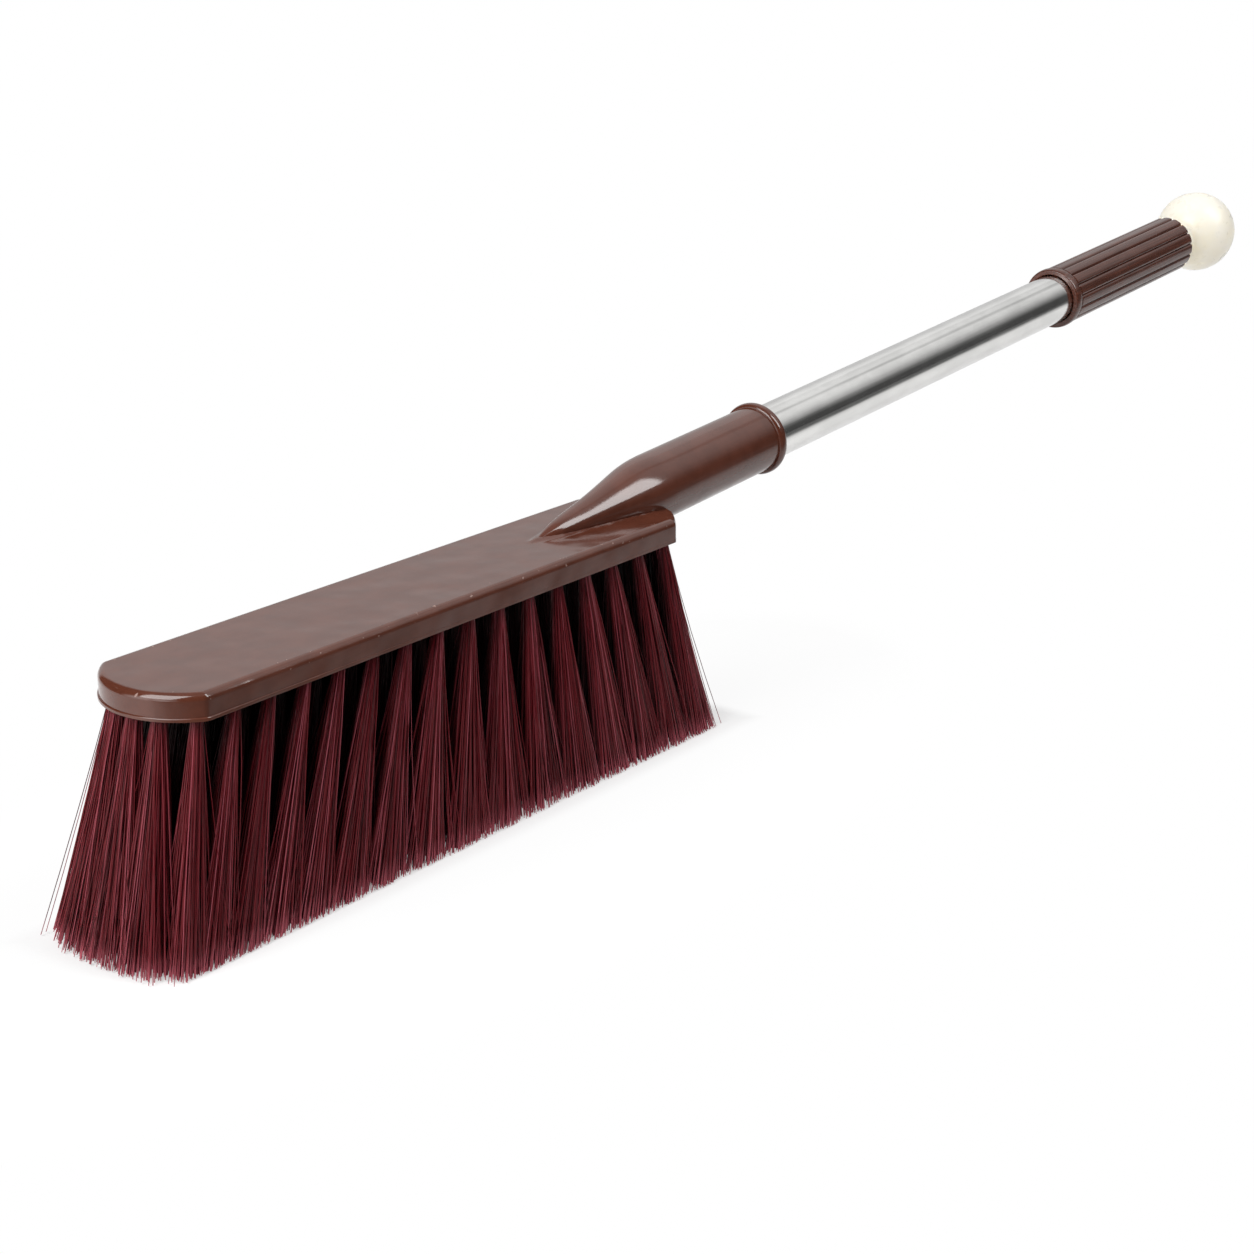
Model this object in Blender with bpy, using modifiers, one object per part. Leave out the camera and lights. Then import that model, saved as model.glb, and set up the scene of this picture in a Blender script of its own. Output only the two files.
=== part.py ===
"""A long-handled carpet brush at its real size, in metres, with +Z up.

The brush stands on its bristle tips. +X runs from the brush head along the handle, and the origin lies
on the floor, halfway between the foremost tips and the end of the ball. Places along the head are
measured from the datum, which lies on the floor under the line that joins the head's two front corners.
Places along the handle are stations, measured along its axis from where it leaves the head's top face.
"""
import math

import bmesh
import bpy

# Fits and cuts
CLEARANCE = 0.0003
OVERRUN = 0.003
WELD = 0.00001

# Head: a block with straight sides and bowed ends
HEAD_WIDTH = 0.041
HEAD_SIDE_LENGTH = 0.197
HEAD_HEIGHT = 0.0074
END_BOW_DEPTH = 0.0107
END_BOW_STEPS = 14
HEAD_CORNER_RADIUS = 0.0028
CORNER_STEPS = 4
TOP_FILLET = 0.0022
FILLET_STEPS = 3
LIP_HEIGHT = 0.001
LIP_STAND = 0.0004
POCKET_RIM = 0.001

# Bristles: tufts in rows, each row fused to a slice of the block that it is set in
BRISTLE_TRIM = 0.0656
TUFT_COLUMNS = 16
TUFT_ROWS = 5
ROW_EDGE_DISTANCE = 0.0049
TUFT_EDGE_DISTANCE = 0.0044
SLICE_HEIGHT = 0.003
STRAND_WIDTH = 0.0014
CELLS_PER_TUFT = 3
END_LEAN = 0.0142
SIDE_LEAN = 0.0064

# Handle axis
HANDLE_RISE = math.radians(4.4)
AXIS_START = 0.1592
ROUND_STEPS = 48

# Cone and sleeve, moulded with the head
CONE_LEAD = 0.0084
CONE_END = 0.045
CONE_BLEND = 0.007
CONE_BLEND_STEPS = 6
SLEEVE_WALL = 0.00147
SLEEVE_END = 0.111
RIM_WIDTH = 0.0038
RIM_STAND = 0.0012
RIM_STEPS = 8
TUBE_SOCKET_DEPTH = 0.056

# Tube
TUBE_RADIUS = 0.0095
TUBE_WALL = 0.00025
TUBE_SHOWN_LENGTH = 0.2018
TUBE_IN_GRIP = 0.045

# Grip
GRIP_RADIUS = 0.01164
GRIP_LENGTH = 0.1015
GRIP_END_WALL = 0.0125
GRIP_END_ROUND = 0.0012
END_ROUND_STEPS = 4
RIB_COUNT = 15
RIB_DEPTH = 0.0009
RIB_TOP_SHARE = 0.62
RIB_FOOT_SHARE = 0.16
RIB_TURN = math.radians(10)
COLLAR_WIDTH = 0.0045
COLLAR_FACE_RADIUS = 0.0111
COLLAR_STAND = 0.0009
COLLAR_STEPS = 8

# Ball knob
BALL_RADIUS = 0.0168
BALL_WALL = 0.0016
BALL_OUTSIDE_STEPS = 14
BALL_INSIDE_STEPS = 7
NECK_RADIUS = 0.007
NECK_LENGTH = 0.0104
STEM_RADIUS = 0.005
STEM_WALL = 0.0015
STEM_LENGTH = 0.0115

# Looks: colour, roughness and metallic value
BROWN_PLASTIC = ((0.105, 0.036, 0.026), 0.32, 0.0)
BURGUNDY_BRISTLE = ((0.16, 0.012, 0.025), 0.45, 0.0)
POLISHED_STEEL = ((0.78, 0.78, 0.76), 0.16, 1.0)
IVORY_PLASTIC = ((0.93, 0.87, 0.72), 0.35, 0.0)
SHARP_ABOVE = math.radians(35)
FLAT_WITHIN = math.radians(0.5)

# Sizes worked out from those above
HEAD_TOP = BRISTLE_TRIM + HEAD_HEIGHT
END_BOW_RADIUS = (END_BOW_DEPTH**2 + (HEAD_WIDTH / 2) ** 2) / (2 * END_BOW_DEPTH)
END_BOW_SETBACK = END_BOW_RADIUS - END_BOW_DEPTH
ROW_PITCH = (HEAD_WIDTH - 2 * ROW_EDGE_DISTANCE) / (TUFT_ROWS - 1)
TUFT_HALF_WIDTH = CELLS_PER_TUFT * STRAND_WIDTH / 2
SLEEVE_RADIUS = TUBE_RADIUS + CLEARANCE + SLEEVE_WALL
SOCKET_FLOOR = SLEEVE_END - TUBE_SOCKET_DEPTH
TUBE_START = SOCKET_FLOOR + CLEARANCE
GRIP_START = SLEEVE_END + TUBE_SHOWN_LENGTH
GRIP_END = GRIP_START + GRIP_LENGTH
TUBE_END = GRIP_START + TUBE_IN_GRIP
BORE_END = GRIP_END - GRIP_END_WALL
NECK_START = GRIP_END + CLEARANCE
BALL_CENTRE = NECK_START + NECK_LENGTH + math.sqrt(BALL_RADIUS**2 - NECK_RADIUS**2)


def remove_everything():
    for obj in list(bpy.data.objects):
        bpy.data.objects.remove(obj, do_unlink=True)


def new_collection(name):
    collection = bpy.data.collections.new(name)
    bpy.context.scene.collection.children.link(collection)
    return collection


def new_material(name, look):
    colour, roughness, metallic = look
    material = bpy.data.materials.new(name)
    material.use_nodes = True
    shader = material.node_tree.nodes["Principled BSDF"]
    shader.inputs["Base Color"].default_value = (*colour, 1.0)
    shader.inputs["Roughness"].default_value = roughness
    shader.inputs["Metallic"].default_value = metallic
    material.diffuse_color = (*colour, 1.0)
    return material


def add_empty(name, parent, location, turn_about_y, collection):
    empty = bpy.data.objects.new(name, None)
    empty.location = location
    empty.rotation_euler.y = turn_about_y
    empty.parent = parent
    collection.objects.link(empty)
    return empty


def add_object(name, mesh, parent, collection):
    obj = bpy.data.objects.new(name, mesh)
    obj.parent = parent
    collection.objects.link(obj)
    return obj


def combine(obj, operation, form, solver="EXACT"):
    """Joins a hidden form to the object, keeps what they share or cuts the form away."""
    form.hide_render = True
    form.display_type = "WIRE"
    modifier = obj.modifiers.new(form.name, "BOOLEAN")
    modifier.operation = operation
    modifier.solver = solver
    modifier.object = form


def shade(obj, material):
    obj.data.materials.append(material)
    obj.data.shade_smooth()
    obj.data.set_sharp_from_angle(angle=SHARP_ABOVE)


def even_shading(obj):
    """Lets the large faces set the shading where small ones meet them."""
    modifier = obj.modifiers.new("even_shading", "WEIGHTED_NORMAL")
    modifier.keep_sharp = True


def prism(name, outline, bottom, top, parent, collection):
    """A flat outline raised from bottom to top, with its caps welded to its sides."""
    curve = bpy.data.curves.new(name, "CURVE")
    curve.dimensions = "2D"
    curve.fill_mode = "BOTH"
    curve.extrude = (top - bottom) / 2
    spline = curve.splines.new("POLY")
    spline.points.add(len(outline) - 1)
    for point, (x, y) in zip(spline.points, outline):
        point.co = (x, y, 0, 1)
    spline.use_cyclic_u = True
    guide = bpy.data.objects.new(name + "_outline", curve)
    guide.location.z = (top + bottom) / 2
    collection.objects.link(guide)
    bpy.context.view_layer.update()
    graph = bpy.context.evaluated_depsgraph_get()
    mesh = bpy.data.meshes.new_from_object(guide.evaluated_get(graph))
    mesh.name = name
    shape = bmesh.new()
    shape.from_mesh(mesh)
    bmesh.ops.remove_doubles(shape, verts=shape.verts, dist=WELD)
    bmesh.ops.dissolve_limit(shape, angle_limit=FLAT_WITHIN, verts=shape.verts, edges=shape.edges)
    bmesh.ops.recalc_face_normals(shape, faces=shape.faces)
    shape.to_mesh(mesh)
    shape.free()
    obj = add_object(name, mesh, parent, collection)
    obj.matrix_basis = guide.matrix_world
    bpy.data.objects.remove(guide, do_unlink=True)
    return obj


def turned(name, profile, closed, parent, collection):
    """A profile of (radius, station) points, from the ball's end down, turned about the handle axis."""
    mesh = bpy.data.meshes.new(name)
    edges = [(i, i + 1) for i in range(len(profile) - 1)]
    if closed:
        edges.append((len(profile) - 1, 0))
    mesh.from_pydata([(radius, 0, station) for radius, station in profile], edges, [])
    obj = add_object(name, mesh, parent, collection)
    screw = obj.modifiers.new("turn", "SCREW")
    screw.axis = "Z"
    screw.steps = ROUND_STEPS
    screw.render_steps = ROUND_STEPS
    screw.use_merge_vertices = True
    screw.merge_threshold = WELD
    screw.use_smooth_shade = True
    return obj


def round_bar(name, radius, start, end, parent, collection):
    """A plain cylinder on the handle axis."""
    shape = bmesh.new()
    length = end - start
    bmesh.ops.create_cone(
        shape, cap_ends=True, segments=ROUND_STEPS, radius1=radius, radius2=radius, depth=length
    )
    mesh = bpy.data.meshes.new(name)
    shape.to_mesh(mesh)
    shape.free()
    obj = add_object(name, mesh, parent, collection)
    obj.location.z = (start + end) / 2
    return obj


def arc(centre_x, centre_y, radius, start, end, steps):
    """Points round an arc, both its ends included."""
    turns = [start + (end - start) * i / steps for i in range(steps + 1)]
    return [(centre_x + radius * math.cos(t), centre_y + radius * math.sin(t)) for t in turns]


def bowed_end(inset):
    """The front end of the head's outline, from the near side to the far side, drawn in by the inset."""
    bow = END_BOW_RADIUS - inset
    corner = max(HEAD_CORNER_RADIUS - inset, CLEARANCE)
    corner_y = HEAD_WIDTH / 2 - inset - corner
    corner_x = math.sqrt((bow - corner) ** 2 - corner_y**2)
    meet = math.atan2(corner_y, corner_x)
    back = END_BOW_SETBACK
    near = arc(back - corner_x, -corner_y, corner, -math.pi / 2, meet - math.pi, CORNER_STEPS)
    bowed = arc(back, 0, bow, meet - math.pi, -math.pi - meet, END_BOW_STEPS)
    far = arc(back - corner_x, corner_y, corner, -math.pi - meet, -math.pi * 3 / 2, CORNER_STEPS)
    return near + bowed[1:-1] + far


def head_outline(inset):
    """The head seen from above, drawn in by the inset. Both ends bow alike."""
    front = bowed_end(inset)
    rear = [(HEAD_SIDE_LENGTH - x, y) for x, y in front]
    return front + rear[::-1]


def round_top_edge(head):
    """Rounds the edge all round the head's top face."""
    shape = bmesh.new()
    shape.from_mesh(head.data)
    top = max(vert.co.z for vert in shape.verts)
    walls = {face for face in shape.faces if any(top - vert.co.z > WELD for vert in face.verts)}
    on_top = [edge for edge in shape.edges if all(top - vert.co.z < WELD for vert in edge.verts)]
    rim = [edge for edge in on_top if walls.intersection(edge.link_faces)]
    bmesh.ops.bevel(
        shape, geom=rim, offset=TOP_FILLET, segments=FILLET_STEPS, profile=0.5, affect="EDGES"
    )
    shape.to_mesh(head.data)
    shape.free()


def sleeve_profile():
    """The sleeve's rim bead, its plain length and the cone that it narrows into."""
    rim_centre = SLEEVE_END - RIM_WIDTH / 2
    points = [(0, SLEEVE_END)]
    for i in range(RIM_STEPS + 1):
        turn = math.pi * i / RIM_STEPS
        radius = SLEEVE_RADIUS + RIM_STAND * math.sin(turn)
        points.append((radius, rim_centre + RIM_WIDTH / 2 * math.cos(turn)))
    slope = SLEEVE_RADIUS / (CONE_END + CONE_LEAD)
    for i in range(CONE_BLEND_STEPS + 1):
        share = i / CONE_BLEND_STEPS
        above = CONE_BLEND * (1 - share) ** 2
        below = CONE_BLEND * share**2
        points.append((SLEEVE_RADIUS - slope * below, CONE_END + above - below))
    points.append((0, -CONE_LEAD))
    return points


def make_head(datum, axis, brush, forms):
    """Block, lip, cone and sleeve in one moulding, with a pocket below and a socket for the tube."""
    head = prism("head_with_socket", head_outline(0), BRISTLE_TRIM, HEAD_TOP, datum, brush)
    round_top_edge(head)
    shade(head, new_material("head_brown_plastic", BROWN_PLASTIC))

    lip_top = BRISTLE_TRIM + LIP_HEIGHT
    lip = prism("lip_form", head_outline(-LIP_STAND), BRISTLE_TRIM, lip_top, datum, forms)
    sleeve = turned("sleeve_form", sleeve_profile(), False, axis, forms)
    below = prism("below_head_cut", head_outline(-HEAD_WIDTH / 2), 0, BRISTLE_TRIM, datum, forms)
    pocket_floor = BRISTLE_TRIM - OVERRUN
    pocket_roof = BRISTLE_TRIM + SLICE_HEIGHT + CLEARANCE
    pocket = prism("pocket_cut", head_outline(POCKET_RIM), pocket_floor, pocket_roof, datum, forms)
    bore_radius = TUBE_RADIUS + CLEARANCE
    bore = round_bar("socket_cut", bore_radius, SOCKET_FLOOR, SLEEVE_END + OVERRUN, axis, forms)
    # The cone's long thin faces are lost by the EXACT solver, and all these forms are closed.
    for form in (lip, sleeve):
        combine(head, "UNION", form, "MANIFOLD")
    for form in (below, pocket, bore):
        combine(head, "DIFFERENCE", form, "MANIFOLD")
    even_shading(head)


def setback(distance_from_edge, y):
    """How far behind the datum a line lies that keeps this distance from the bowed edge."""
    return END_BOW_SETBACK - math.sqrt((END_BOW_RADIUS - distance_from_edge) ** 2 - y**2)


def tuft_places(y):
    """The places along the head of the tufts in the row at y."""
    front = setback(TUFT_EDGE_DISTANCE, y)
    pitch = (HEAD_SIDE_LENGTH - 2 * front) / (TUFT_COLUMNS - 1)
    return [front + pitch * i for i in range(TUFT_COLUMNS)]


def strand_sides(middle):
    """The lines between and beside the cells of a tuft."""
    return [middle - TUFT_HALF_WIDTH + STRAND_WIDTH * i for i in range(CELLS_PER_TUFT + 1)]


def lines_across(row):
    """The grid lines of a row's slice across the head: its two sides and the sides of its cells."""
    y = row_place(row)
    outer = HEAD_WIDTH / 2 - POCKET_RIM - CLEARANCE
    near = -outer if row == 0 else y - (ROW_PITCH - CLEARANCE) / 2
    far = outer if row == TUFT_ROWS - 1 else y + (ROW_PITCH - CLEARANCE) / 2
    return [near, *strand_sides(y), far]


def row_place(row):
    return (row - (TUFT_ROWS - 1) / 2) * ROW_PITCH


def slice_end(y):
    """Where a slice ends at y. Its outermost corners are cut back, because the pocket's are round."""
    end = setback(POCKET_RIM + CLEARANCE, y)
    at_side = HEAD_WIDTH / 2 - POCKET_RIM - CLEARANCE - abs(y) < WELD
    return end + HEAD_CORNER_RADIUS if at_side else end


def strand_tip(root_x, root_y, tuft_x, tuft_y):
    """Where a strand ends: the tufts fan out evenly, and the strands of each spread to fill the trim."""
    middle = HEAD_SIDE_LENGTH / 2
    half_length = middle - tuft_places(0)[0]
    half_width = row_place(TUFT_ROWS - 1)
    column_pitch = 2 * (half_length + END_LEAN) / (TUFT_COLUMNS - 1)
    row_pitch = 2 * (half_width + SIDE_LEAN) / (TUFT_ROWS - 1)
    cell_x = (root_x - tuft_x) / STRAND_WIDTH
    cell_y = (root_y - tuft_y) / STRAND_WIDTH
    x = tuft_x + END_LEAN * (tuft_x - middle) / half_length + cell_x * column_pitch / CELLS_PER_TUFT
    y = tuft_y + SIDE_LEAN * tuft_y / half_width + cell_y * row_pitch / CELLS_PER_TUFT
    return x, y


def is_strand(column_cell, row_cell):
    """A tuft's strands are the four corner cells and the middle cell."""
    last = CELLS_PER_TUFT - 1
    corner = column_cell in (0, last) and row_cell in (0, last)
    return corner or (column_cell == last / 2 and row_cell == last / 2)


def slice_grid(row):
    """The underside of a row's slice as a grid whose cells under the tufts are the strands' roots."""
    across = lines_across(row)
    places = tuft_places(row_place(row))
    along = [line for place in places for line in strand_sides(place)]
    shape = bmesh.new()
    count_along = len(along) + 1
    count_across = len(across) - 1
    bmesh.ops.create_grid(shape, x_segments=count_along, y_segments=count_across, size=1)
    cells = {}
    for face in shape.faces:
        middle = face.calc_center_median()
        cell = (int((middle.x + 1) / 2 * count_along), int((middle.y + 1) / 2 * count_across))
        cells[cell] = face
    for vert in shape.verts:
        i = round((vert.co.x + 1) / 2 * count_along)
        j = round((vert.co.y + 1) / 2 * count_across)
        end = slice_end(across[j])
        x = [end, *along, HEAD_SIDE_LENGTH - end][i]
        x = max(x, end + i * CLEARANCE)
        x = min(x, HEAD_SIDE_LENGTH - end - (count_along - i) * CLEARANCE)
        vert.co = (x, across[j], BRISTLE_TRIM)
    return shape, cells, places


def raise_slice(shape):
    """Closes the slice above its underside, and clears the lines that its flat faces don't need."""
    border = [edge for edge in shape.edges if edge.is_boundary]
    raised = bmesh.ops.extrude_edge_only(shape, edges=border)["geom"]
    top_verts = [item for item in raised if isinstance(item, bmesh.types.BMVert)]
    top_edges = [item for item in raised if isinstance(item, bmesh.types.BMEdge)]
    top_edges = [edge for edge in top_edges if all(vert in top_verts for vert in edge.verts)]
    bmesh.ops.translate(shape, verts=top_verts, vec=(0, 0, SLICE_HEIGHT))
    bmesh.ops.contextual_create(shape, geom=top_edges)
    walls = [edge for vert in top_verts for edge in vert.link_edges]
    bmesh.ops.dissolve_limit(shape, angle_limit=FLAT_WITHIN, verts=top_verts, edges=list(set(walls)))


def make_bristle_row(row, datum, brush, material):
    """A slice of the block with one row of tufts. Each strand runs down to the floor from its root."""
    shape, cells, places = slice_grid(row)
    cells_per_place = CELLS_PER_TUFT + 1
    for (i, j), face in cells.items():
        column, column_cell = divmod(i - 1, cells_per_place)
        if column < 0 or not is_strand(column_cell, j - 1):
            continue
        root = face.calc_center_median()
        x, y = strand_tip(root.x, root.y, places[column], row_place(row))
        tip = bmesh.ops.extrude_discrete_faces(shape, faces=[face])["faces"][0]
        bmesh.ops.translate(shape, verts=tip.verts, vec=(x - root.x, y - root.y, -root.z))
    raise_slice(shape)
    bmesh.ops.recalc_face_normals(shape, faces=shape.faces)
    mesh = bpy.data.meshes.new(f"bristle_row_{row + 1}")
    shape.to_mesh(mesh)
    shape.free()
    mesh.materials.append(material)
    add_object(mesh.name, mesh, datum, brush)


def make_tube(axis, brush):
    """A thin steel tube, open at both ends."""
    outer = TUBE_RADIUS
    inner = TUBE_RADIUS - TUBE_WALL
    profile = [(outer, TUBE_END), (outer, TUBE_START), (inner, TUBE_START), (inner, TUBE_END)]
    tube = turned("handle_tube", profile, True, axis, brush)
    tube.data.materials.append(new_material("tube_polished_steel", POLISHED_STEEL))


def ribbed_outline():
    """The grip's section: ribs round a circle, with a narrow groove at each side."""
    pitch = 2 * math.pi / RIB_COUNT
    first_groove = math.pi + RIB_TURN
    points = []
    for rib in range(RIB_COUNT):
        groove = first_groove + rib * pitch
        foot = RIB_FOOT_SHARE * pitch / 2
        top = RIB_TOP_SHARE * pitch / 2
        points += arc(0, 0, GRIP_RADIUS - RIB_DEPTH, groove - foot, groove + foot, 1)
        points += arc(0, 0, GRIP_RADIUS, groove + pitch / 2 - top, groove + pitch / 2 + top, 2)
    return points


def grip_end_profile():
    """The space that the ribs keep to, so that they round off at the ball's end."""
    round_centre = GRIP_RADIUS - GRIP_END_ROUND
    corner = arc(round_centre, GRIP_END - GRIP_END_ROUND, GRIP_END_ROUND, math.pi / 2, 0, END_ROUND_STEPS)
    outside = GRIP_RADIUS + OVERRUN
    last_ring = GRIP_END - 2 * GRIP_END_ROUND
    return [(0, GRIP_END), *corner, (outside, last_ring), (outside, GRIP_START), (0, GRIP_START)]


def collar_profile():
    """The bead at the grip's mouth, turned solid."""
    middle = GRIP_START + COLLAR_WIDTH / 2
    bead = []
    for i in range(COLLAR_STEPS + 1):
        turn = math.pi * i / COLLAR_STEPS
        radius = COLLAR_FACE_RADIUS + COLLAR_STAND * math.sin(turn)
        bead.append((radius, middle + COLLAR_WIDTH / 2 * math.cos(turn)))
    return [(0, bead[0][1]), *bead, (0, GRIP_START)]


def make_grip(axis, brush, forms):
    """A ribbed sleeve over the tube, with a collar at its mouth and an end wall that holds the ball."""
    ribs_start = GRIP_START + COLLAR_WIDTH / 2
    grip = prism("grip", ribbed_outline(), ribs_start, GRIP_END, axis, brush)
    shade(grip, new_material("grip_brown_plastic", BROWN_PLASTIC))
    combine(grip, "INTERSECT", turned("grip_end_form", grip_end_profile(), False, axis, forms))
    combine(grip, "UNION", turned("collar_form", collar_profile(), False, axis, forms))
    bore_radius = TUBE_RADIUS + CLEARANCE
    bore = round_bar("grip_bore_cut", bore_radius, GRIP_START - OVERRUN, BORE_END, axis, forms)
    hole_start = BORE_END - OVERRUN
    hole_radius = STEM_RADIUS + CLEARANCE
    hole = round_bar("stem_hole_cut", hole_radius, hole_start, GRIP_END + OVERRUN, axis, forms)
    combine(grip, "DIFFERENCE", bore)
    combine(grip, "DIFFERENCE", hole)
    even_shading(grip)


def ball_side(radius, neck, steps):
    """An arc from the ball's pole down to where it meets a neck of this radius."""
    return arc(0, BALL_CENTRE, radius, math.pi / 2, -math.acos(neck / radius), steps)


def make_ball(axis, brush):
    """A hollow ball on a neck, with a stem that plugs into the grip's end wall and is open below."""
    stem_bore = STEM_RADIUS - STEM_WALL
    outside = ball_side(BALL_RADIUS, NECK_RADIUS, BALL_OUTSIDE_STEPS)
    inside = ball_side(BALL_RADIUS - BALL_WALL, stem_bore, BALL_INSIDE_STEPS)
    stem_end = GRIP_END - STEM_LENGTH
    steps = [(NECK_RADIUS, NECK_START), (STEM_RADIUS, NECK_START), (STEM_RADIUS, stem_end)]
    profile = [(0, outside[0][1]), *outside[1:], *steps, (stem_bore, stem_end), *inside[:0:-1]]
    profile.append((0, inside[0][1]))
    ball = turned("ball_knob", profile, False, axis, brush)
    ball.data.materials.append(new_material("ball_ivory_plastic", IVORY_PLASTIC))


def main():
    remove_everything()
    brush = new_collection("carpet_brush")
    forms = new_collection("carpet_brush_forms")
    front_tuft = tuft_places(0)[0]
    front_strand = front_tuft - TUFT_HALF_WIDTH + STRAND_WIDTH / 2
    front_tip = strand_tip(front_strand, 0, front_tuft, 0)[0] - STRAND_WIDTH / 2
    ball_end = AXIS_START + BALL_CENTRE * math.cos(HANDLE_RISE) + BALL_RADIUS
    datum = add_empty("head_datum", None, (-(front_tip + ball_end) / 2, 0, 0), 0, brush)
    axis_turn = math.pi / 2 - HANDLE_RISE
    axis = add_empty("handle_axis", datum, (AXIS_START, 0, HEAD_TOP), axis_turn, brush)
    make_head(datum, axis, brush, forms)
    bristle = new_material("bristle_burgundy", BURGUNDY_BRISTLE)
    for row in range(TUFT_ROWS):
        make_bristle_row(row, datum, brush, bristle)
    make_tube(axis, brush)
    make_grip(axis, brush, forms)
    make_ball(axis, brush)


if __name__ == "__main__":
    main()
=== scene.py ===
"""A long-handled carpet brush with dense flared bristles, standing on its tips in a white studio.

Every piece is made at its real size in metres, round the packed frame. The datum lies on the floor under
the line that joins the block's two front corners. Places along the handle are stations, measured along
its axis from where it leaves the block's top face.
"""

import math
import random

import bmesh
import bpy
from mathutils import Matrix, Vector, noise


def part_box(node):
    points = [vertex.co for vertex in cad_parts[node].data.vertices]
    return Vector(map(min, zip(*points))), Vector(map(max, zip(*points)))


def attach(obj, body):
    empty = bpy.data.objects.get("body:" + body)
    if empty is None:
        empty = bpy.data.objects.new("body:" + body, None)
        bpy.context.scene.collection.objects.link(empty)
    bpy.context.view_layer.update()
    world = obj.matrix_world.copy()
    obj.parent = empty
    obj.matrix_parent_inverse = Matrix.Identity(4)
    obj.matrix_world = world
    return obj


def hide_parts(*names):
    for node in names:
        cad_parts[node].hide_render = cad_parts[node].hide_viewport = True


bl_info = {
    "name": "Carpet Brush",
    "version": (1, 0, 0),
    "blender": (4, 5, 0),
    "location": "3D View > Sidebar > Carpet Brush",
    "description": "Builds a carpet brush, piece by piece, with its studio",
    "category": "Add Mesh",
}

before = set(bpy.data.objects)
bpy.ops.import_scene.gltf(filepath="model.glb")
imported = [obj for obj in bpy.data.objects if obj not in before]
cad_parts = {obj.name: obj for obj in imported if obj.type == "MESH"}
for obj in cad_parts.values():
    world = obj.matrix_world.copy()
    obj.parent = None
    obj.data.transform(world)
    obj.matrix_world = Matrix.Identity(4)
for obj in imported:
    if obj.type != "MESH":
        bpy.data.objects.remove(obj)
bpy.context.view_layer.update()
BODY = "root"

# Places read from the frame
BLOCK_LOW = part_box("head_with_socket")[0]
TUBE_LOW, TUBE_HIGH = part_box("handle_tube")
BALL_LOW, BALL_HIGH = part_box("ball_knob")
BALL_RADIUS = (BALL_HIGH.z - BALL_LOW.z) / 2
BALL_CENTRE = Vector((BALL_HIGH.x - BALL_RADIUS, 0, (BALL_HIGH.z + BALL_LOW.z) / 2))
TUBE_CENTRE = (TUBE_LOW + TUBE_HIGH) / 2
ALONG = (BALL_CENTRE - TUBE_CENTRE).normalized()
HANDLE_RISE = math.asin(ALONG.z)
TIPS_LOW = Vector(map(min, *(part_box(f"bristle_row_{row}")[0] for row in range(1, 6))))
TIPS_HIGH = Vector(map(max, *(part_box(f"bristle_row_{row}")[1] for row in range(1, 6))))

# Fineness
WELD = 0.00001
OVERRUN = 0.003
TURNS = 144
BOW_STEPS = 48
CORNER_STEPS = 8
SIDE_STEPS = 6
LIP_STEPS = 4
FILLET_STEPS = 8
RIM_STEPS = 20
SLEEVE_STEPS = 12
BLEND_STEPS = 14
CONE_STEPS = 48
HOLE_STEPS = 20
FILAMENT_STEPS = 4
TUBE_STEPS = 24
RIB_STEPS = 20
COLLAR_STEPS = 18
END_STEPS = 6
BALL_STEPS = 60
COARSE_GRID = 0.0026
COARSE_LINES = 7
FINE_GRID = 0.0008
FINE_LINES = 12
FINE_MARGIN = 0.003
UPWARD = 0.99
SHARP_ABOVE = math.radians(32)

# How round the beads are, and how square a rib and a tuft's patch of tips are
RIM_POWER = 0.8
COLLAR_POWER = 0.7
RIB_POWER = 6
PATCH_POWER = -0.7

# How far the scuffs reach in from the block's edge, as a share of its fillet
WORN_SHARE = 1.6

# How closely the hollows in the block's top follow each other, per metre
HOLLOWS_ALONG = 95
HOLLOWS_ACROSS = 120
HOLLOWS_SEED = 3.1

# Camera, fitted to the photograph, with its target measured from the datum
CAMERA_AZIMUTH = math.radians(-51.59)
CAMERA_ELEVATION = math.radians(18.88)
CAMERA_ROLL = math.radians(-0.28)
CAMERA_DISTANCE = 0.66561
CAMERA_TARGET = Vector((0.10604, -0.07281, 0))
CAMERA_LENS_MM = 69.89
SENSOR_MM = 36
CAMERA_REACH = 20


def length(name, description, default):
    return bpy.props.FloatProperty(
        name=name, description=description, default=default, min=0, unit="LENGTH", precision=5
    )


def count(name, description, default):
    return bpy.props.IntProperty(name=name, description=description, default=default, min=1)


def fraction(name, description, default):
    return bpy.props.FloatProperty(name=name, description=description, default=default, min=0.05, max=1)


def colour(name, description, default):
    return bpy.props.FloatVectorProperty(
        name=name, description=description, default=default, size=3, subtype="COLOR", min=0, max=1
    )


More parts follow.
